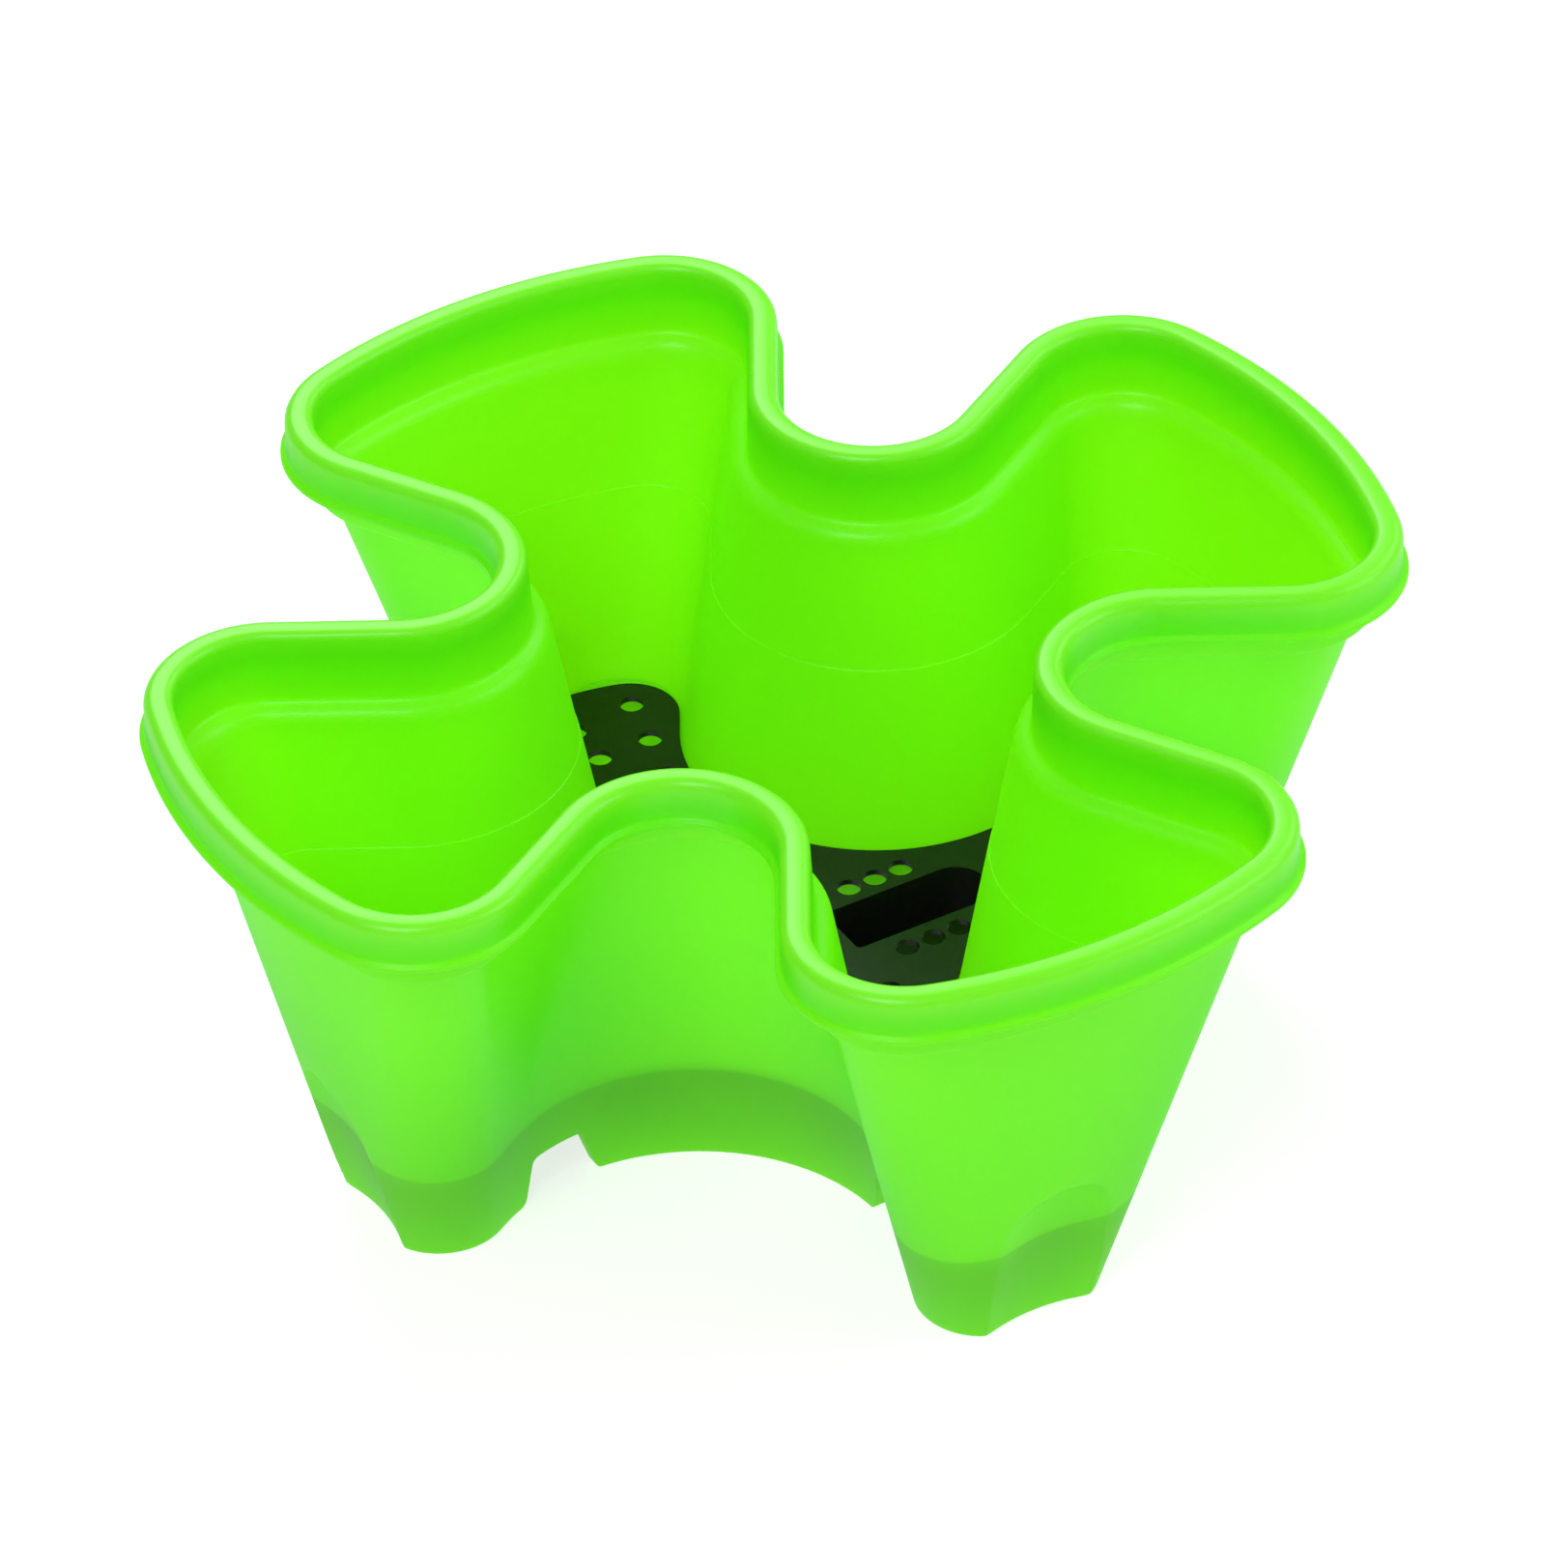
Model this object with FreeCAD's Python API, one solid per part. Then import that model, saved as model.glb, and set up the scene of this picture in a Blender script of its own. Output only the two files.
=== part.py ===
"""One tier of a stacking planter tower: a four-lobed open shell and its lift-out drain plate.

Millimetres, +Z up. The origin is on the floor, at the middle of the four lobes, which point along
+X, +Y, -X and -Y. The valleys between them lie on the diagonals.

Every plan curve here turns through the same angles, so the facets between any two of them are
flat, and the shell is skinned from such facets.
"""
import FreeCAD
import Part
import math
import os

from FreeCAD import Vector

LOBES = 4

# Overall sizes
HEIGHT = 185.0          # floor to the crown of the rim
RIM_REACH = 208.1       # centre to the rim's outer face at a lobe's end
RIM_VALLEY = 95.2       # centre to the rim's outer face at the middle of a valley
RIM_END_ARC = 197.7
RIM_VALLEY_ARC = 32.0
FOOT_REACH = 161.4      # the same four sizes where the shell stands on the floor
FOOT_VALLEY = 53.8
FOOT_END_ARC = 51.0
FOOT_VALLEY_ARC = 70.8

# Angles that every plan curve shares
END_ANGLE = 18.15       # half of the turn of a lobe's end
SIDE_ANGLE = 120.3      # from a lobe's axis to the outward normal of its straight side

# Facets in half a lobe's end, in a corner and in half a valley
END_FACETS = 3
CORNER_FACETS = 7
VALLEY_FACETS = 5

# Section of the rim, measured inwards from its outer face and down from its crown
WALL = 2.3
RIM_WIDTH = 9.5
SKIRT_WALL = 2.1
CROWN_OUTER = 4.0       # rounding of the rim's outer shoulder
CROWN_INNER = 3.2
CROWN_FACETS = 3
LIP_REACH = 1.9         # the lip stands out from the rim's skirt
LIP_TOP = 14.6
LIP_THICK = 1.9
LIP_EDGE = 0.6
COLLAR_DRAFT = 1.2      # how far the collar's wall closes in down to the ledge
LEDGE_DEPTH = 26.0      # crown to the top of the inner ledge
LEDGE_WIDTH = 5.4
LEDGE_FALL = 2.4        # drop of the ledge's slope
LEDGE_EASE = 1.2        # chamfer along the ledge's top edge
UNDER_LEDGE = 3.2       # how far the outside follows below the ledge

# Mould line: a small step inside, where two parts of the core met
MOULD_LINE = 109.0
MOULD_STEP = 0.35

# Seat of the drain plate, on a step inside the wall
SEAT_HEIGHT = 41.5
SEAT_STEP = 2.2

# Hollow in each lobe's end, leaning with the wall and closed by a round arch
HOLLOW_ARC = 60.0       # plan radius of its face
HOLLOW_FOOT = 154.2     # centre to its face, on the floor
HOLLOW_LEAN = 0.258     # how far the face leans out for each millimetre of height
HOLLOW_HALF = 20.5
HOLLOW_TOP = 64.0

# Notches in both sides of each lobe, which straddle the rim of the tier below
NOTCH_INNER = 84.5
NOTCH_OUTER = 113.0
NOTCH_HEIGHT = 21.0
NOTCH_DRAFT = 1.8       # its outer side closes in by this much up to its top
NOTCH_TAB_DRAFT = 5.8   # and its inner side by this much
NOTCH_TOP_ROUND = 2.5
NOTCH_FOOT_ROUND = 4.0

# Drain plate
PLATE_THICK = 2.0
PLATE_GAP = 0.9         # plate's edge to the wall
PLATE_SEAT_GAP = 0.3    # plate's underside to its seat
PLATE_SHORT = 6.0       # how much more the plate stays back from a lobe's end
HOLE = 8.2
HOLE_SIDES = 12         # a hole's wall has this many flats
TROUGH_INNER = 20.8     # centre to a trough's flat inner end
TROUGH_OUTER = 76.0
TROUGH_WIDTH = 22.0
TROUGH_DEPTH = 25.0
TROUGH_DRAFT = 1.0      # each side closes in by this much down to the bottom
TROUGH_WALL = 1.6
ROW_OFFSET = 18.8       # rows of holes beside a trough
ROW_START = 35.0
ROW_PITCH = 10.0
ROW_COUNT = 3
TAIL_START = 104.5      # rows of holes that fan out towards a lobe's end
TAIL_PITCH = 20.0
TAIL_COUNT = 3
TAIL_OFFSET = 15.4
TAIL_SPREAD = 4.3
MIDDLE_START = 107.0    # holes along the middle of an arm
MIDDLE_PITCH = 17.2

UP = Vector(0, 0, 1)
BELOW = 5.0             # how far cutting solids run past the face that they cut


def heading(degrees):
    """Unit vector in plan at an angle from +X."""
    return Vector(math.cos(math.radians(degrees)), math.sin(math.radians(degrees)), 0)


def arc_points(centre, radius, first, last, facets):
    """Points on an arc, from one angle to another, both ends included."""
    step = (last - first) / facets
    return [centre + heading(first + step * index) * radius for index in range(facets + 1)]


class Outline:
    """A closed plan curve of lobe ends, corners, straight sides and valleys, all tangent."""

    def __init__(self, reach, end_arc, valley, valley_arc):
        self.reach = reach
        self.end_arc = end_arc
        self.valley = valley
        self.valley_arc = valley_arc

    def inset(self, distance):
        """The parallel curve that lies inside this one."""
        return Outline(self.reach - distance, self.end_arc - distance,
                       self.valley - distance, self.valley_arc + distance)

    def towards(self, other, share):
        """The curve part of the way from this one to another."""
        return Outline(self.reach + (other.reach - self.reach) * share,
                       self.end_arc + (other.end_arc - self.end_arc) * share,
                       self.valley + (other.valley - self.valley) * share,
                       self.valley_arc + (other.valley_arc - self.valley_arc) * share)

    def corner(self, end, valley):
        """Radius of the corner arc that joins a lobe's end to its straight side."""
        side = heading(SIDE_ANGLE)
        turn = heading(END_ANGLE).dot(side)
        room = (valley - end).dot(side) - self.valley_arc - self.end_arc * turn
        return room / (1 - turn)

    def half_lobe(self):
        """Points from the middle of the +X lobe's end to the middle of a valley."""
        diagonal = heading(180.0 / LOBES)
        end = Vector(self.reach - self.end_arc, 0, 0)
        valley = diagonal * (self.valley + self.valley_arc)
        radius = self.corner(end, valley)
        corner = end + heading(END_ANGLE) * (self.end_arc - radius)
        points = arc_points(end, self.end_arc, 0, END_ANGLE, END_FACETS)
        points += arc_points(corner, radius, END_ANGLE, SIDE_ANGLE, CORNER_FACETS)[1:]
        return points + arc_points(valley, self.valley_arc, SIDE_ANGLE + 180, 180 + 180.0 / LOBES,
                                   VALLEY_FACETS)

    def ring(self, height):
        """The closed curve's corner points at a height."""
        half = self.half_lobe()
        back = [Vector(point.y, point.x, 0) for point in reversed(half)]
        lobe = half + back[1:-1]
        ring = []
        for turn in range(LOBES):
            spin = FreeCAD.Rotation(UP, turn * 360.0 / LOBES)
            ring.extend(spin.multVec(point) + UP * height for point in lobe)
        return ring


RIM = Outline(RIM_REACH, RIM_END_ARC, RIM_VALLEY, RIM_VALLEY_ARC)
FOOT = Outline(FOOT_REACH, FOOT_END_ARC, FOOT_VALLEY, FOOT_VALLEY_ARC)

# The collar ends below its ledge, where the tapering body takes over
COLLAR_INNER = RIM_WIDTH + COLLAR_DRAFT
BODY_INSET = COLLAR_INNER + LEDGE_WIDTH - WALL
BODY_TOP = HEIGHT - LEDGE_DEPTH - LEDGE_FALL - LEDGE_EASE


def body_outline(height):
    """Outer face of the tapering body at a height."""
    return FOOT.towards(RIM.inset(BODY_INSET), height / BODY_TOP)


def band(lower, upper):
    """Flat facets between two rings."""
    faces = []
    for index, point in enumerate(lower):
        following = (index + 1) % len(lower)
        loop = [point, lower[following], upper[following], upper[index], point]
        faces.append(Part.Face(Part.makePolygon(loop)))
    return faces


def cap(ring):
    """Flat face inside a ring."""
    return Part.Face(Part.makePolygon(ring + ring[:1]))


def solid_of(faces):
    """Closed solid with the given faces."""
    shell = Part.Shell(faces)
    shell.sewShape()
    solid = Part.makeSolid(shell)
    if solid.Volume < 0:
        solid.reverse()
    return solid


def stack(rings):
    """Solid through a pile of rings, closed at its foot and its top."""
    faces = [cap(rings[0]), cap(rings[-1])]
    for lower, upper in zip(rings, rings[1:]):
        faces += band(lower, upper)
    return solid_of(faces)


def hoop(rings):
    """Ring-shaped solid whose section has one corner on each ring."""
    faces = []
    for lower, upper in zip(rings, rings[1:] + rings[:1]):
        faces += band(lower, upper)
    return solid_of(faces)


def around(shape):
    """Copies of a shape made for the +X lobe, one for each lobe."""
    copies = []
    for turn in range(LOBES):
        copy = shape.copy()
        copy.rotate(Vector(0, 0, 0), UP, turn * 360.0 / LOBES)
        copies.append(copy)
    return copies


def rim_ring(inward, down):
    """Ring on the rim's section, placed from its outer face and its crown."""
    return RIM.inset(inward).ring(HEIGHT - down)


def body_ring(height, inset):
    """Ring on the body's wall, set in from its outer face."""
    return body_outline(height).inset(inset).ring(height)


def crown_rings(face, radius, inward):
    """Rings round the rim's shoulder, from its side face up to its flat top."""
    rings = []
    for index in range(CROWN_FACETS + 1):
        turn = math.radians(90.0 * index / CROWN_FACETS)
        aside = radius * (1 - math.cos(turn)) * inward
        rings.append(rim_ring(face + aside, radius * (1 - math.sin(turn))))
    return rings


def outer_form():
    """Everything inside the shell's outer face, lip and rim."""
    collar_outer = COLLAR_INNER - WALL
    lip_low = LIP_TOP + LIP_THICK
    wall_outer = RIM_WIDTH - WALL
    rings = [
        body_ring(0.0, 0.0),
        body_ring(BODY_TOP - UNDER_LEDGE, 0.0),
        rim_ring(collar_outer, LEDGE_DEPTH + WALL),
        rim_ring(wall_outer, lip_low),
        rim_ring(LIP_EDGE - LIP_REACH, lip_low),
        rim_ring(-LIP_REACH, lip_low - LIP_EDGE),
        rim_ring(-LIP_REACH, LIP_TOP + LIP_EDGE),
        rim_ring(0.0, LIP_TOP),
    ]
    return stack(rings + crown_rings(0.0, CROWN_OUTER, 1))


def groove_form():
    """The groove under the rolled rim, between its skirt and the collar's wall."""
    mouth = LIP_TOP + LIP_THICK
    return hoop([
        rim_ring(SKIRT_WALL, mouth),
        rim_ring(SKIRT_WALL, WALL),
        rim_ring(RIM_WIDTH - WALL, WALL),
        rim_ring(RIM_WIDTH - WALL, mouth),
    ])


def room_form():
    """The room inside the collar and the upper body, down to the mould line."""
    rings = [
        body_ring(MOULD_LINE, WALL),
        body_ring(BODY_TOP, WALL),
        rim_ring(COLLAR_INNER + LEDGE_WIDTH, LEDGE_DEPTH + LEDGE_FALL),
        rim_ring(COLLAR_INNER + LEDGE_EASE, LEDGE_DEPTH + LEDGE_FALL * LEDGE_EASE / LEDGE_WIDTH),
        rim_ring(COLLAR_INNER, LEDGE_DEPTH - LEDGE_EASE),
    ]
    rings += crown_rings(RIM_WIDTH, CROWN_INNER, -1)
    return stack(rings + [rim_ring(RIM_WIDTH - CROWN_INNER, -BELOW)])


def hollow_cutter(extra):
    """What the hollow in the +X lobe's end takes away, grown by a wall's thickness."""
    lean = math.degrees(math.atan(HOLLOW_LEAN))
    stick = Part.makeCylinder(HOLLOW_ARC + extra, HEIGHT, Vector(0, 0, -HEIGHT / 4), UP)
    stick.rotate(Vector(0, 0, 0), Vector(0, 1, 0), lean)
    stick.translate(Vector(HOLLOW_FOOT + HOLLOW_ARC / math.cos(math.radians(lean)), 0, 0))
    half = HOLLOW_HALF + extra
    spring = HOLLOW_TOP - HOLLOW_HALF
    near = HOLLOW_FOOT / 2
    left, right = Vector(near, half, spring), Vector(near, -half, spring)
    low_left, low_right = Vector(near, half, -BELOW), Vector(near, -half, -BELOW)
    edges = [
        Part.LineSegment(low_right, low_left).toShape(),
        Part.LineSegment(low_left, left).toShape(),
        Part.Arc(left, Vector(near, 0, spring + half), right).toShape(),
        Part.LineSegment(right, low_right).toShape(),
    ]
    arch = Part.Face(Part.Wire(edges)).extrude(Vector(RIM_REACH * 2, 0, 0))
    return stick.common(arch)


def round_corners(points, radii):
    """Closed wire through points, with each corner rounded by its radius (0 leaves it sharp)."""
    starts = []
    stops = []
    edges = []
    for index, (point, radius) in enumerate(zip(points, radii)):
        before = (points[index - 1] - point).normalize()
        after = (points[(index + 1) % len(points)] - point).normalize()
        half = before.getAngle(after) / 2
        cut = radius / math.tan(half)
        starts.append(point + before * cut)
        stops.append(point + after * cut)
        if radius > 0:
            middle = point + (before + after).normalize() * (radius / math.sin(half) - radius)
            edges.append(Part.Arc(starts[-1], middle, stops[-1]).toShape())
    for index, stop in enumerate(stops):
        edges.append(Part.LineSegment(stop, starts[(index + 1) % len(points)]).toShape())
    return Part.Wire(Part.__sortEdges__(edges))


def notch_cutter():
    """What the two notches of the +X lobe take away."""
    flare = NOTCH_FOOT_ROUND
    outline = [
        (NOTCH_INNER - flare * 2, -BELOW, 0.0),
        (NOTCH_INNER - flare * 2, 0.0, 0.0),
        (NOTCH_INNER, 0.0, flare),
        (NOTCH_INNER + NOTCH_TAB_DRAFT, NOTCH_HEIGHT, NOTCH_TOP_ROUND),
        (NOTCH_OUTER - NOTCH_DRAFT, NOTCH_HEIGHT, NOTCH_TOP_ROUND),
        (NOTCH_OUTER, 0.0, flare),
        (NOTCH_OUTER + flare * 2, 0.0, 0.0),
        (NOTCH_OUTER + flare * 2, -BELOW, 0.0),
    ]
    half = FOOT_REACH / 3
    points = [Vector(out, -half, up) for out, up, _ in outline]
    face = Part.Face(round_corners(points, [radius for _, _, radius in outline]))
    return face.extrude(Vector(0, half * 2, 0))


def planter_shell():
    """The green shell, open at the top and at the foot."""
    step = WALL + MOULD_STEP
    seat = step + SEAT_STEP
    outer = outer_form().cut(around(hollow_cutter(0.0)))
    middle = stack([body_ring(SEAT_HEIGHT, step), body_ring(MOULD_LINE, step)])
    middle = middle.cut(around(hollow_cutter(step)))
    lower = stack([body_ring(-BELOW, seat), body_ring(SEAT_HEIGHT, seat)])
    lower = lower.cut(around(hollow_cutter(seat)))
    shell = outer.cut([room_form(), groove_form(), middle, lower])
    return shell.cut(around(notch_cutter()))


def trough_form(height, depth, inset):
    """A trough's form on the +X arm: flat inner end, round outer end, drafted sides."""
    wires = []
    for level, shrink in ((height, inset), (height - depth, inset + TROUGH_DRAFT)):
        half = TROUGH_WIDTH / 2 - shrink
        near = TROUGH_INNER + shrink
        centre = TROUGH_OUTER - TROUGH_WIDTH / 2
        right, left = Vector(centre, -half, level), Vector(centre, half, level)
        near_right, near_left = Vector(near, -half, level), Vector(near, half, level)
        edges = [
            Part.LineSegment(near_right, right).toShape(),
            Part.Arc(right, Vector(centre + half, 0, level), left).toShape(),
            Part.LineSegment(left, near_left).toShape(),
            Part.LineSegment(near_left, near_right).toShape(),
        ]
        wires.append(Part.Wire(edges))
    return Part.makeLoft(wires, True, True)


def hole_places():
    """Centres of the holes in the +X arm."""
    places = []
    for index in range(ROW_COUNT):
        along = ROW_START + ROW_PITCH * index
        places += [(along, ROW_OFFSET), (along, -ROW_OFFSET)]
    for index in range(TAIL_COUNT):
        along = TAIL_START + TAIL_PITCH * index
        spread = TAIL_OFFSET + TAIL_SPREAD * index
        places += [(along, spread), (along, -spread), (MIDDLE_START + MIDDLE_PITCH * index, 0.0)]
    return places


def hole_pin(x, y, height):
    """What one drain hole takes away."""
    ring = arc_points(Vector(x, y, height - BELOW), HOLE / 2, 0, 360, HOLE_SIDES)[:-1]
    return cap(ring).extrude(UP * (PLATE_THICK + 2 * BELOW))


def drain_plate():
    """The black plate with its four deep troughs."""
    under = SEAT_HEIGHT + PLATE_SEAT_GAP
    top = under + PLATE_THICK
    inset = WALL + MOULD_STEP + PLATE_GAP
    edge = body_outline(under).inset(inset)
    edge.reach -= PLATE_SHORT
    sheet = cap(edge.ring(under)).extrude(UP * PLATE_THICK)
    sheet = sheet.cut(around(hollow_cutter(inset)))
    cups = around(trough_form(top, TROUGH_DEPTH, -TROUGH_WALL))
    plate = sheet.fuse(cups).removeSplitter()
    cuts = around(trough_form(top, TROUGH_DEPTH - TROUGH_WALL, 0.0))
    for x, y in hole_places():
        cuts += around(hole_pin(x, y, under))
    return plate.cut(cuts)


def main():
    os.makedirs("parts", exist_ok=True)
    for name, make in (("planter_shell", planter_shell), ("drain_plate", drain_plate)):
        shape = make()
        print(name, "solids", len(shape.Solids), "valid", shape.isValid(),
              "volume", round(shape.Volume), "faces", len(shape.Faces))
        solid = shape.Solids[0]
        solid.exportStep("parts/" + name + ".step")


main()
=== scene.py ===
"""Looks of the stacking planter tier: a fine skin over the moulded pot, and its drain plate.

Metres, in the row frame: +Z up, the origin on the floor at the middle of the four lobes, which
point along +X, +Y, -X and -Y. Every plan curve is made of arcs that turn through the same angles,
so rings at different heights match point for point.
"""

import math

import bmesh
import bpy
import numpy as np
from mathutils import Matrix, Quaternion, Vector


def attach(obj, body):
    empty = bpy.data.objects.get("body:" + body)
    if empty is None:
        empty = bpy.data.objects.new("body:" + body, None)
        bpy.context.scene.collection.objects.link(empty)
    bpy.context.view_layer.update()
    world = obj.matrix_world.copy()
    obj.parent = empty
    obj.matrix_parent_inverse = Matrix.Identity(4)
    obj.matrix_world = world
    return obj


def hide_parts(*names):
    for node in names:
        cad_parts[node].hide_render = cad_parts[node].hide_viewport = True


MM = 0.001
LOBES = 4

# Plan curves: reach, radius of a lobe's end, valley, radius of a valley, and how inset changes each
RIM = np.array((208.1, 197.7, 95.2, 32.0)) * MM
FOOT = np.array((161.4, 51.0, 53.8, 70.8)) * MM
INSET = np.array((-1.0, -1.0, -1.0, 1.0))
END_ANGLE = math.radians(18.15)
SIDE_ANGLE = math.radians(120.3)
END_STEPS = 22
CORNER_STEPS = 30
VALLEY_STEPS = 22

# Heights in the shell's section
HEIGHT = 185.0 * MM
GROOVE_ROOF = 182.7 * MM
ROLL_FOOT = 171.6 * MM
LIP_TOP = 170.3 * MM
LIP_FOOT = 168.5 * MM
COLLAR_FOOT = 159.3 * MM
FLARE_TOP = 156.7 * MM
LEDGE_HEIGHT = 156.6 * MM
BODY_TOP = 155.4 * MM
FLARE_FOOT = 152.2 * MM
MOULD_LINE = 109.0 * MM
MOULD_LINE_DROP = 0.2 * MM
SEAT_HEIGHT = 41.5 * MM

# Faces in the shell's section, measured out or in from the body's outer face
LIP_OUT = 15.7 * MM
ROLL_OUT = 13.8 * MM
GROOVE_OUT = 11.7 * MM
GROOVE_IN = 6.6 * MM
FLARE_OUT = 5.4 * MM
CROWN_OUT = 4.3 * MM
COLLAR_OUT = 3.1 * MM
WALL = 2.3 * MM
LOWER_WALL = 2.65 * MM
SKIRT_WALL = 4.85 * MM

# Fineness of the shell's mesh
HOLLOW_ZONE = 72.0 * MM
FINE_STEP = 1.6 * MM
COARSE_STEP = 7.0 * MM
ROUND_STEPS = 5
LONGEST_CUT = 0.49
SHELL_SHARP = math.radians(38)

# Hollow in each lobe's end
HOLLOW_ARC = 60.0 * MM
HOLLOW_FOOT = 154.2 * MM
HOLLOW_LEAN = 0.258
HOLLOW_HALF = 20.5 * MM
HOLLOW_SPRING = 43.5 * MM
HOLLOW_SHOULDER = 1.9
HOLLOW_START = 1.2 * MM
HOLLOW_WIDEST = 0.8
HOLLOW_SOFTNESS = 2.0 * MM

# Notches, drawn in millimetres with arcs: centre out, centre up, first angle, last angle, radius
NOTCH_ARCS = (
    (80.6, 4.0, -90, -15, 4.0),
    (93.0, 18.5, 165, 90, 2.5),
    (108.9, 18.5, 90, 5, 2.5),
    (116.8, 4.0, 185, 270, 4.0),
)
NOTCH_ARC_POINTS = 9
NOTCH_START = ((79.5, -5.0), (80.0, -0.01))
NOTCH_FINISH = ((117.0, -0.01), (117.5, -5.0))
NOTCH_HALF = 54.0 * MM

# Drain plate
PLATE_GAP = 0.3 * MM
PLATE_THICK = 2.0 * MM
PLATE_LOW = SEAT_HEIGHT + PLATE_GAP
PLATE_TOP = PLATE_LOW + PLATE_THICK
PLATE_INSET = 3.55 * MM
PLATE_SHORT = 6.0 * MM
PLATE_SHARP = math.radians(30)
PLATE_EDGE = 0.35 * MM
PLATE_EDGE_ANGLE = math.radians(40)
HOLE = 8.2 * MM
HOLE_SIDES = 48
HOLES_IN_ROW = 3

# Rows of holes in an arm, in millimetres, with first places and steps
INNER_ROW = (35.0, 10.0)
INNER_SIDE = 18.8
OUTER_ROW = (104.5, 20.0)
OUTER_SIDE = (15.4, 4.3)
MIDDLE_ROW = (107.0, 17.2)

# Troughs
TROUGH_DEPTH = 25.0 * MM
TROUGH_WALL = 1.6 * MM
TROUGH_DRAFT = 1.0 * MM
TROUGH_INNER = 20.8 * MM
TROUGH_OUTER = 76.0 * MM
TROUGH_HALF = 11.0 * MM
TROUGH_STEPS = 20
TROUGH_CORNER = 1.5 * MM
CORNER_PARTS = 4
CUP_SINK = 0.2 * MM
LID_OVERLAP = 0.01 * MM

# Green plastic: its surface, and the light through it at the foot, just under the plate, in the
# wall and at the crown; the darker light through at the foot and just under the plate is painted
# shade from the plate, and less light through at the crown paints the top lighter
LIME_LIGHT = (0.225, 0.955, 0.014)
LIME_DARK = (0.21, 0.92, 0.01)
LIME_GLOSS = (0.36, 0.43)
LIME_DRIFT = 9.0
LIME_GRAIN = 0.1 * MM
THROUGH_FOOT_SHADE = (0.48, 0.92, 0.02)
THROUGH_PLATE_SHADOW = (0.37, 0.77, 0.02)
THROUGH_WALL = (0.54, 0.98, 0.015)
# The smaller share of light through at the crown paints the top lighter and whiter
THROUGH_SHARES = (0.6, 0.27)
PLATE_SHADOW_PLACE = 0.96
PLATE_SHADOW_BLEND = 0.3 * MM
CROWN_CHANGE = (175.0 * MM, 183.0 * MM)

# Black plastic
BLACK_LIGHT = (0.010, 0.011, 0.009)
BLACK_DARK = (0.006, 0.007, 0.005)
BLACK_GLOSS = (0.34, 0.46)
BLACK_DRIFT = 14.0
BLACK_GRAIN = 0.2 * MM

# Both plastics: refraction, and their fine grain against the broad drift of colour
PLASTIC_IOR = 1.49
GRAIN_RATIO = 60
GRAIN_STRENGTH = 0.15

# Studio, with lamps as name, place, size and power
FLOOR_REACH = 6.0
FLOOR_SHADE = 0.4
FLOOR_GLOW = 0.74
SURROUNDINGS = 0.26
LAMPS = (
    ("key", (-1.6, -1.2, 2.6), 1.4, 50),
    ("fill", (1.8, -1.4, 1.6), 1.6, 26),
    ("back", (0.6, 2.2, 2.0), 1.4, 38),
    ("right", (2.4, 0.6, 1.8), 1.4, 18),
)
LAMP_TARGET = Vector((0.0, 0.0, 0.1))

# Camera
CAMERA_PLACE = Vector((-1.35926, -2.38342, 2.22721))
CAMERA_TARGET = Vector((0.01397, 0.02378, 0.0925))
CAMERA_ROLL = math.radians(-1.431)
CAMERA_LENS = 243.99
CAMERA_SENSOR = 36


def turned(points, turns):
    """Plan points turned about the middle by quarter turns."""
    angle = turns * 2 * math.pi / LOBES
    spin = np.array(((math.cos(angle), math.sin(angle)), (-math.sin(angle), math.cos(angle))))
    return points @ spin


def arc(centre, radius, first, last, steps):
    """Plan points on an arc, both ends included."""
    angles = np.linspace(first, last, steps + 1)
    return np.asarray(centre) + radius * np.stack((np.cos(angles), np.sin(angles)), axis=1)


def plan(outline):
    """The closed plan curve's points."""
    reach, end_arc, valley, valley_arc = outline
    side = np.array((math.cos(SIDE_ANGLE), math.sin(SIDE_ANGLE)))
    end = np.array((reach - end_arc, 0.0))
    middle = np.full(2, (valley + valley_arc) * math.sqrt(0.5))
    turn = math.cos(SIDE_ANGLE - END_ANGLE)
    radius = ((middle - end) @ side - valley_arc - end_arc * turn) / (1 - turn)
    heading = np.array((math.cos(END_ANGLE), math.sin(END_ANGLE)))
    corner = end + heading * (end_arc - radius)
    half = np.vstack((
        arc(end, end_arc, 0.0, END_ANGLE, END_STEPS),
        arc(corner, radius, END_ANGLE, SIDE_ANGLE, CORNER_STEPS)[1:],
        arc(middle, valley_arc, SIDE_ANGLE + math.pi, math.radians(225), VALLEY_STEPS),
    ))
    lobe = np.vstack((half, half[-2:0:-1, ::-1]))
    return np.vstack([turned(lobe, turns) for turns in range(LOBES)])


def wall_outline(inset, height):
    """Plan curve of the wall at a height, set in from the body's outer face."""
    top = RIM + INSET * ROLL_OUT
    share = min(height / BODY_TOP, 1.0)
    return FOOT + (top - FOOT) * share + INSET * inset


def level(points, height):
    """Plan points set at a height."""
    return np.column_stack((points, np.full(len(points), height)))


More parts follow.
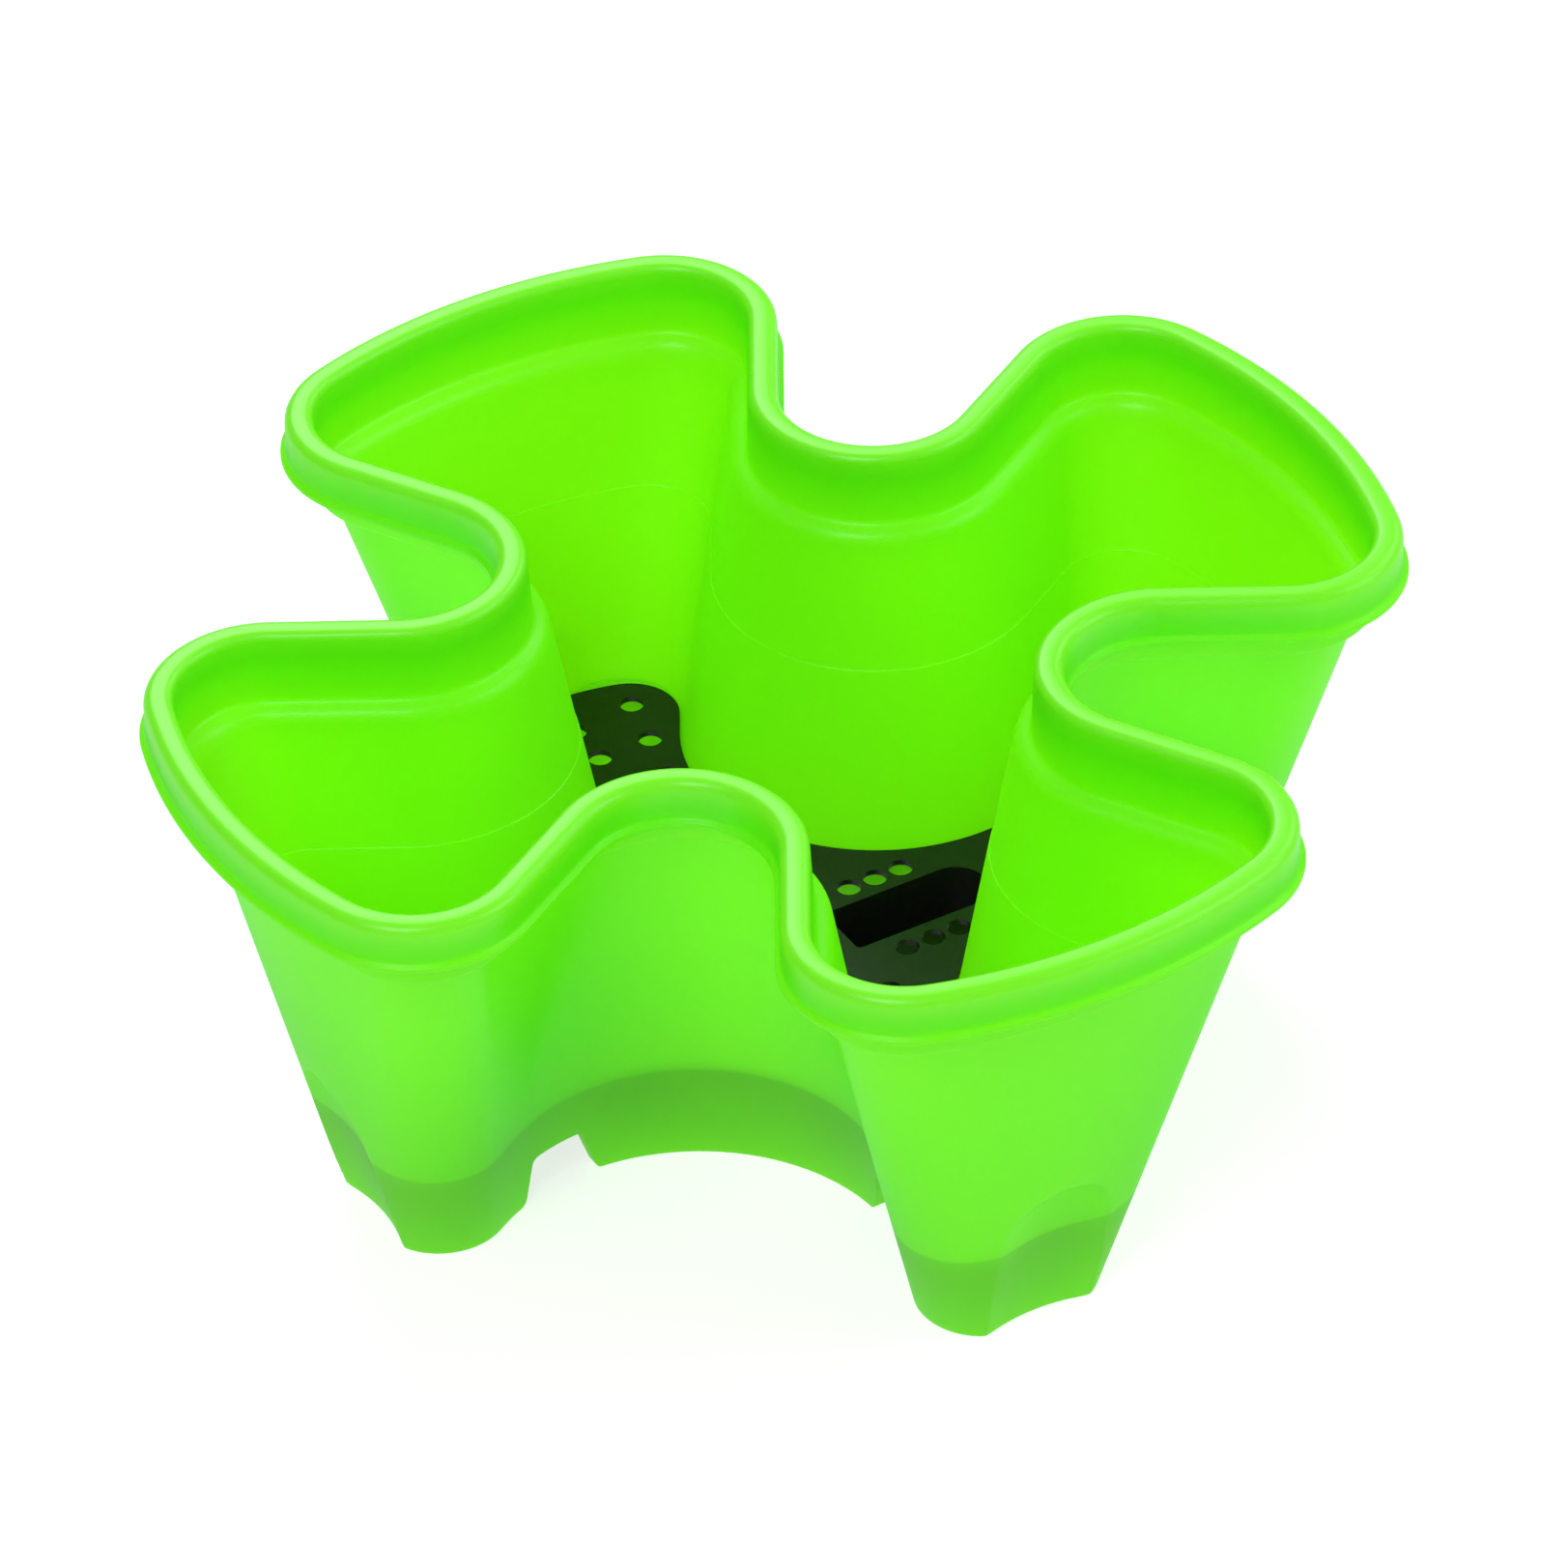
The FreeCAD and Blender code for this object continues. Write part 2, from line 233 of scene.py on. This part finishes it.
def rounded(corners):
    """Closed section through (inset, height, radius) corners, each rounded by its radius."""
    section = []
    for index, (across, up, radius) in enumerate(corners):
        here = np.array((across, up))
        before = np.array(corners[index - 1][:2]) - here
        after = np.array(corners[(index + 1) % len(corners)][:2]) - here
        before_length = np.linalg.norm(before)
        after_length = np.linalg.norm(after)
        before /= before_length
        after /= after_length
        if radius == 0:
            section.append(here)
            continue
        half = math.acos(max(-1.0, min(1.0, float(before @ after)))) / 2
        cut = min(radius / math.tan(half), before_length * LONGEST_CUT, after_length * LONGEST_CUT)
        radius = cut * math.tan(half)
        inward = (before + after) / np.linalg.norm(before + after)
        centre = here + inward * radius / math.sin(half)
        start = here + before * cut - centre
        turn = math.pi - 2 * half
        finish = here + after * cut - centre
        for step in range(ROUND_STEPS + 1):
            share = step / ROUND_STEPS
            first = math.sin((1 - share) * turn) / math.sin(turn)
            last = math.sin(share * turn) / math.sin(turn)
            section.append(centre + start * first + finish * last)
    return section


def refined(section):
    """The same section with more points along its long stretches."""
    finer = []
    for index, here in enumerate(section):
        following = section[(index + 1) % len(section)]
        finer.append(here)
        low = min(here[1], following[1])
        step = FINE_STEP if low < HOLLOW_ZONE else COARSE_STEP
        count = int(np.linalg.norm(following - here) // step)
        for extra in range(1, count + 1):
            finer.append(here + (following - here) * extra / (count + 1))
    return finer


def smooth_min(first, second, softness):
    """The lesser of two values, with a soft change-over."""
    mix = np.clip(0.5 + 0.5 * (second - first) / softness, 0.0, 1.0)
    return second * (1 - mix) + first * mix - softness * mix * (1 - mix)


def hollowed(points, inset):
    """A ring with the hollow of each lobe's end pressed in."""
    height = points[0, 2]
    if height > HOLLOW_ZONE:
        return points
    count = len(points) // LOBES
    half = count // 2
    result = points.copy()
    for turns in range(LOBES):
        chosen = np.arange(turns * count - half, turns * count + half) % len(points)
        flat = turned(points[chosen, :2], -turns)
        out, side = flat[:, 0], flat[:, 1]
        reach = np.clip(np.abs(side), 0.0, HOLLOW_ARC * HOLLOW_WIDEST)
        bowl = HOLLOW_ARC - np.sqrt(HOLLOW_ARC ** 2 - reach ** 2)
        rise = max(height - HOLLOW_SPRING, 0.0)
        edge = np.hypot(side, rise) - HOLLOW_HALF - inset
        face = HOLLOW_FOOT + HOLLOW_LEAN * height + bowl - inset
        limit = face + HOLLOW_SHOULDER * np.clip(edge + HOLLOW_START, 0.0, None)
        flat = np.column_stack((smooth_min(out, limit, HOLLOW_SOFTNESS), side))
        result[chosen, :2] = turned(flat, turns)
    return result


def mesh_object(name, points, faces):
    """A new object from points and faces."""
    mesh = bpy.data.meshes.new(name)
    mesh.from_pydata([tuple(point) for point in points], [], faces)
    piece = bpy.data.objects.new(name, mesh)
    bpy.context.scene.collection.objects.link(piece)
    return piece


def ring_faces(rings, size, closed):
    """Quads between neighbouring rings."""
    faces = []
    for low in range(rings if closed else rings - 1):
        high = (low + 1) % rings
        for index in range(size):
            following = (index + 1) % size
            faces.append((low * size + index, low * size + following,
                          high * size + following, high * size + index))
    return faces


def capped(first, last):
    """Points and faces of a closed form between two like outlines."""
    size = len(first)
    faces = ring_faces(2, size, False)
    faces += [tuple(range(size))[::-1], tuple(range(size, 2 * size))]
    return np.vstack((first, last)), faces


def prism(points, bottom, top):
    """Points and faces of an upright prism."""
    return capped(level(points, bottom), level(points, top))


def joined(name, parts):
    """One object from several sets of points and faces."""
    points = []
    faces = []
    count = 0
    for part_points, part_faces in parts:
        points.append(part_points)
        faces += [tuple(index + count for index in face) for face in part_faces]
        count += len(part_points)
    return mesh_object(name, np.vstack(points), faces)


def outward(piece):
    """Turns the faces of a piece to look outwards."""
    form = bmesh.new()
    form.from_mesh(piece.data)
    bmesh.ops.recalc_face_normals(form, faces=form.faces)
    form.to_mesh(piece.data)
    form.free()


def combine(piece, other, operation):
    """Applies a boolean between two pieces, and removes the second."""
    outward(other)
    modifier = piece.modifiers.new(operation, "BOOLEAN")
    modifier.operation = operation
    modifier.object = other
    modifier.solver = "EXACT"
    bpy.context.view_layer.update()
    shaped = piece.evaluated_get(bpy.context.evaluated_depsgraph_get())
    mesh = bpy.data.meshes.new_from_object(shaped)
    piece.modifiers.clear()
    piece.data = mesh
    bpy.data.objects.remove(other)


def shell_section():
    """The section of the shell, from corners (inset, height, rounding in millimetres)."""
    corners = (
        (0.0, 0.0, 0.7),
        (0.0, FLARE_FOOT, 3.0),
        (-FLARE_OUT, FLARE_TOP, 2.0),
        (-GROOVE_IN, LIP_FOOT, 0.0),
        (-GROOVE_IN, GROOVE_ROOF, 0.6),
        (-GROOVE_OUT, GROOVE_ROOF, 0.6),
        (-GROOVE_OUT, LIP_FOOT, 0.5),
        (-LIP_OUT, LIP_FOOT, 0.7),
        (-LIP_OUT, LIP_TOP, 0.35),
        (-ROLL_OUT, ROLL_FOOT, 3.0),
        (-ROLL_OUT, HEIGHT, 3.6),
        (-CROWN_OUT, HEIGHT, 2.9),
        (-COLLAR_OUT, COLLAR_FOOT, 2.4),
        (WALL, LEDGE_HEIGHT, 4.8),
        (WALL, MOULD_LINE, 0.15),
        (LOWER_WALL, MOULD_LINE - MOULD_LINE_DROP, 0.15),
        (LOWER_WALL, SEAT_HEIGHT, 0.3),
        (SKIRT_WALL, SEAT_HEIGHT, 0.4),
        (SKIRT_WALL, 0.0, 0.5),
    )
    return rounded([(across, up, radius * MM) for across, up, radius in corners])


def notch_outline():
    """The outline of a notch, seen from the side: (distance out, height)."""
    points = list(NOTCH_START)
    for out, up, first, last, radius in NOTCH_ARCS:
        angles = np.radians(np.linspace(first, last, NOTCH_ARC_POINTS))
        points += [(out + radius * math.cos(a), up + radius * math.sin(a)) for a in angles]
    points += NOTCH_FINISH
    return np.array(points) * MM


def notch_forms():
    """Points and faces of the four bars that cut the notches."""
    outline = notch_outline()
    forms = []
    for turns in range(LOBES):
        ends = []
        for across in (-NOTCH_HALF, NOTCH_HALF):
            flat = np.column_stack((outline[:, 0], np.full(len(outline), across)))
            ends.append(np.column_stack((turned(flat, turns), outline[:, 1])))
        forms.append(capped(*ends))
    return forms


def make_shell():
    """The green pot as one closed skin."""
    rings = []
    for inset, height in refined(shell_section()):
        wall = level(plan(wall_outline(inset, height)), height)
        rings.append(hollowed(wall, inset))
    faces = ring_faces(len(rings), len(rings[0]), True)
    piece = mesh_object("pot_skin", np.vstack(rings), faces)
    outward(piece)
    combine(piece, joined("notches", notch_forms()), "DIFFERENCE")
    piece.data.shade_smooth()
    piece.data.set_sharp_from_angle(angle=SHELL_SHARP)
    return piece


def trough_plan(grow):
    """Plan of a trough on the +X arm: flat inner end, round outer end."""
    half = TROUGH_HALF + grow
    near = TROUGH_INNER - grow
    centre = TROUGH_OUTER - TROUGH_HALF
    bend = arc((centre, 0.0), half, -math.pi / 2, math.pi / 2, TROUGH_STEPS)
    across = near + TROUGH_CORNER
    side = half - TROUGH_CORNER
    left = arc((across, side), TROUGH_CORNER, math.pi / 2, math.pi, CORNER_PARTS)
    right = arc((across, -side), TROUGH_CORNER, math.pi, math.pi * 1.5, CORNER_PARTS)
    return np.vstack((bend, left, right))


def trough(grow, bottom, top, turns):
    """Points and faces of a drafted trough form."""
    narrow = turned(trough_plan(grow - TROUGH_DRAFT), turns)
    wide = turned(trough_plan(grow), turns)
    return capped(level(narrow, bottom), level(wide, top))


def hole_places():
    """Centres of the holes in the +X arm, in metres."""
    places = []
    for index in range(HOLES_IN_ROW):
        inner = INNER_ROW[0] + INNER_ROW[1] * index
        outer = OUTER_ROW[0] + OUTER_ROW[1] * index
        spread = OUTER_SIDE[0] + OUTER_SIDE[1] * index
        places += [(inner, INNER_SIDE), (inner, -INNER_SIDE)]
        places += [(outer, spread), (outer, -spread)]
        places.append((MIDDLE_ROW[0] + MIDDLE_ROW[1] * index, 0.0))
    return np.array(places) * MM


def make_plate():
    """The black drain plate with its troughs and holes."""
    outline = wall_outline(PLATE_INSET, PLATE_LOW)
    outline[0] -= PLATE_SHORT
    piece = mesh_object("plate_sheet", *prism(plan(outline), PLATE_LOW, PLATE_TOP))
    outward(piece)
    floor = PLATE_TOP - TROUGH_DEPTH
    cups = [trough(TROUGH_WALL, floor, PLATE_TOP - CUP_SINK, turns) for turns in range(LOBES)]
    combine(piece, joined("cups", cups), "UNION")
    inside = floor + TROUGH_WALL
    cuts = [trough(0.0, inside, PLATE_TOP, turns) for turns in range(LOBES)]
    lids = [prism(turned(trough_plan(0.0), turns), PLATE_TOP - LID_OVERLAP, PLATE_TOP + MM)
            for turns in range(LOBES)]
    combine(piece, joined("trough_rooms", cuts), "DIFFERENCE")
    combine(piece, joined("trough_mouths", lids), "DIFFERENCE")
    round_hole = arc((0.0, 0.0), HOLE / 2, 0.0, 2 * math.pi, HOLE_SIDES)[:-1]
    pins = []
    for turns in range(LOBES):
        for place in hole_places():
            pins.append(prism(turned(round_hole + place, turns), PLATE_LOW - MM, PLATE_TOP + MM))
    combine(piece, joined("pins", pins), "DIFFERENCE")
    piece.data.shade_smooth()
    piece.data.set_sharp_from_angle(angle=PLATE_SHARP)
    bevel = piece.modifiers.new("soft edges", "BEVEL")
    bevel.width = PLATE_EDGE
    bevel.segments = 2
    bevel.limit_method = "ANGLE"
    bevel.angle_limit = PLATE_EDGE_ANGLE
    bevel.harden_normals = True
    return piece


def noise(nodes, scale, detail):
    """A noise texture laid over the object's own coordinates."""
    texture = nodes.new("ShaderNodeTexNoise")
    texture.inputs["Scale"].default_value = scale
    texture.inputs["Detail"].default_value = detail
    return texture


def plastic(name, light, dark, gloss_range, scale, bump_height):
    """Moulded plastic whose colour and gloss drift a little over the surface."""
    material = bpy.data.materials.new(name)
    material.use_nodes = True
    nodes, links = material.node_tree.nodes, material.node_tree.links
    shader = nodes["Principled BSDF"]
    place = nodes.new("ShaderNodeTexCoord")
    broad = noise(nodes, scale, 1.0)
    links.new(place.outputs["Object"], broad.inputs["Vector"])
    tint = nodes.new("ShaderNodeMix")
    tint.data_type = "RGBA"
    tint.inputs["A"].default_value = (*dark, 1)
    tint.inputs["B"].default_value = (*light, 1)
    links.new(broad.outputs["Fac"], tint.inputs["Factor"])
    links.new(tint.outputs["Result"], shader.inputs["Base Color"])
    gloss = nodes.new("ShaderNodeMapRange")
    gloss.inputs["To Min"].default_value = gloss_range[0]
    gloss.inputs["To Max"].default_value = gloss_range[1]
    links.new(broad.outputs["Fac"], gloss.inputs["Value"])
    links.new(gloss.outputs["Result"], shader.inputs["Roughness"])
    fine = noise(nodes, scale * GRAIN_RATIO, 2.0)
    links.new(place.outputs["Object"], fine.inputs["Vector"])
    bump = nodes.new("ShaderNodeBump")
    bump.inputs["Strength"].default_value = GRAIN_STRENGTH
    bump.inputs["Distance"].default_value = bump_height
    links.new(fine.outputs["Fac"], bump.inputs["Height"])
    links.new(bump.outputs["Normal"], shader.inputs["Normal"])
    shader.inputs["IOR"].default_value = PLASTIC_IOR
    return material, shader


def by_height(material, low, high, first, last):
    """A value that goes from first to last between two heights."""
    nodes, links = material.node_tree.nodes, material.node_tree.links
    place = nodes.new("ShaderNodeTexCoord")
    split = nodes.new("ShaderNodeSeparateXYZ")
    links.new(place.outputs["Object"], split.inputs["Vector"])
    share = nodes.new("ShaderNodeMapRange")
    share.inputs["From Min"].default_value = low
    share.inputs["From Max"].default_value = high
    share.inputs["To Min"].default_value = first
    share.inputs["To Max"].default_value = last
    links.new(split.outputs["Z"], share.inputs["Value"])
    return share.outputs["Result"]


def green_plastic():
    """Glossy lime-green plastic that lets light through, with painted shade in the light through
    the skirt, darkest just under the plate and paler towards the foot, and less light through at
    the rim, which paints the crown lighter.
    """
    look = (LIME_LIGHT, LIME_DARK, LIME_GLOSS, LIME_DRIFT, LIME_GRAIN)
    material, shader = plastic("lime_plastic", *look)
    shader.inputs["Coat Weight"].default_value = 0.12
    shader.inputs["Coat Roughness"].default_value = 0.2
    nodes, links = material.node_tree.nodes, material.node_tree.links
    # Painted shade from the plate: the light through the skirt is darkest just under the plate and
    # paler towards the foot
    plate_shade_ramp = nodes.new("ShaderNodeValToRGB")
    stops = plate_shade_ramp.color_ramp.elements
    stops[0].color = (*THROUGH_FOOT_SHADE, 1)
    stops[1].color = (*THROUGH_WALL, 1)
    stops.new(PLATE_SHADOW_PLACE).color = (*THROUGH_PLATE_SHADOW, 1)
    up = by_height(material, 0.0, SEAT_HEIGHT + PLATE_SHADOW_BLEND, 0.0, 1.0)
    links.new(up, plate_shade_ramp.inputs["Fac"])
    through = nodes.new("ShaderNodeBsdfTranslucent")
    links.new(plate_shade_ramp.outputs["Color"], through.inputs["Color"])
    # Less light through at the crown: a painted lighter, whiter top
    wall = nodes.new("ShaderNodeMixShader")
    share = by_height(material, *CROWN_CHANGE, *THROUGH_SHARES)
    links.new(share, wall.inputs["Fac"])
    links.new(shader.outputs["BSDF"], wall.inputs[1])
    links.new(through.outputs["BSDF"], wall.inputs[2])
    links.new(wall.outputs["Shader"], nodes["Material Output"].inputs["Surface"])
    return material


def black_plastic():
    """Satin black plastic."""
    look = (BLACK_LIGHT, BLACK_DARK, BLACK_GLOSS, BLACK_DRIFT, BLACK_GRAIN)
    material, shader = plastic("black_plastic", *look)
    shader.inputs["Specular IOR Level"].default_value = 0.43
    return material


def floor_material():
    """Matt paper that glows a little, so the floor stays pale under the pot."""
    material = bpy.data.materials.new("studio_floor")
    material.use_nodes = True
    shader = material.node_tree.nodes["Principled BSDF"]
    shader.inputs["Base Color"].default_value = (FLOOR_SHADE, FLOOR_SHADE, FLOOR_SHADE, 1)
    shader.inputs["Roughness"].default_value = 0.9
    shader.inputs["Specular IOR Level"].default_value = 0.0
    shader.inputs["Emission Color"].default_value = (1, 1, 1, 1)
    shader.inputs["Emission Strength"].default_value = FLOOR_GLOW
    return material


def area_light(name, place, size, power):
    """A square soft light that looks at the pot's middle."""
    data = bpy.data.lights.new(name, "AREA")
    data.size = size
    data.energy = power
    lamp = bpy.data.objects.new(name, data)
    bpy.context.scene.collection.objects.link(lamp)
    lamp.location = place
    lamp.rotation_mode = "QUATERNION"
    look = LAMP_TARGET - Vector(place)
    lamp.rotation_quaternion = look.to_track_quat("-Z", "Y")


def make_studio():
    """Pale floor, soft lights and white surroundings."""
    corners = [(-1, -1), (1, -1), (1, 1), (-1, 1)]
    points = [(FLOOR_REACH * across, FLOOR_REACH * along, 0) for across, along in corners]
    floor = mesh_object("studio_floor", points, [(0, 1, 2, 3)])
    floor.data.materials.append(floor_material())
    for name, place, size, power in LAMPS:
        area_light(name, place, size, power)
    world = bpy.data.worlds.new("studio")
    world.use_nodes = True
    background = world.node_tree.nodes["Background"]
    background.inputs["Color"].default_value = (1.0, 1.0, 1.0, 1)
    background.inputs["Strength"].default_value = SURROUNDINGS
    bpy.context.scene.world = world
    bpy.context.scene.view_settings.view_transform = "Standard"


def make_camera():
    """The photograph's viewpoint."""
    data = bpy.data.cameras.new("camera")
    data.lens = CAMERA_LENS
    data.sensor_width = CAMERA_SENSOR
    data.clip_start = 0.1
    data.clip_end = 100
    camera = bpy.data.objects.new("camera", data)
    bpy.context.scene.collection.objects.link(camera)
    camera.location = CAMERA_PLACE
    camera.rotation_mode = "QUATERNION"
    look = (CAMERA_TARGET - CAMERA_PLACE).to_track_quat("-Z", "Y")
    camera.rotation_quaternion = look @ Quaternion((0, 0, 1), CAMERA_ROLL)
    bpy.context.scene.camera = camera


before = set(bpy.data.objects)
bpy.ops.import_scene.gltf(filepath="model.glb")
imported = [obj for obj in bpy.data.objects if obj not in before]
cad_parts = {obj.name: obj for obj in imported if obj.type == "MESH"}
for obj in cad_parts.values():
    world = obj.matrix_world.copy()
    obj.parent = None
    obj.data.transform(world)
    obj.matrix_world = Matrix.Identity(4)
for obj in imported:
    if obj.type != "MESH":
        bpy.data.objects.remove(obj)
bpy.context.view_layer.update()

shell = make_shell()
shell.data.materials.clear()
shell.data.materials.append(green_plastic())
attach(shell, "pot")
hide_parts("planter_shell")

plate = make_plate()
plate.data.materials.clear()
plate.data.materials.append(black_plastic())
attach(plate, "plate")
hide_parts("drain_plate")

make_studio()
make_camera()
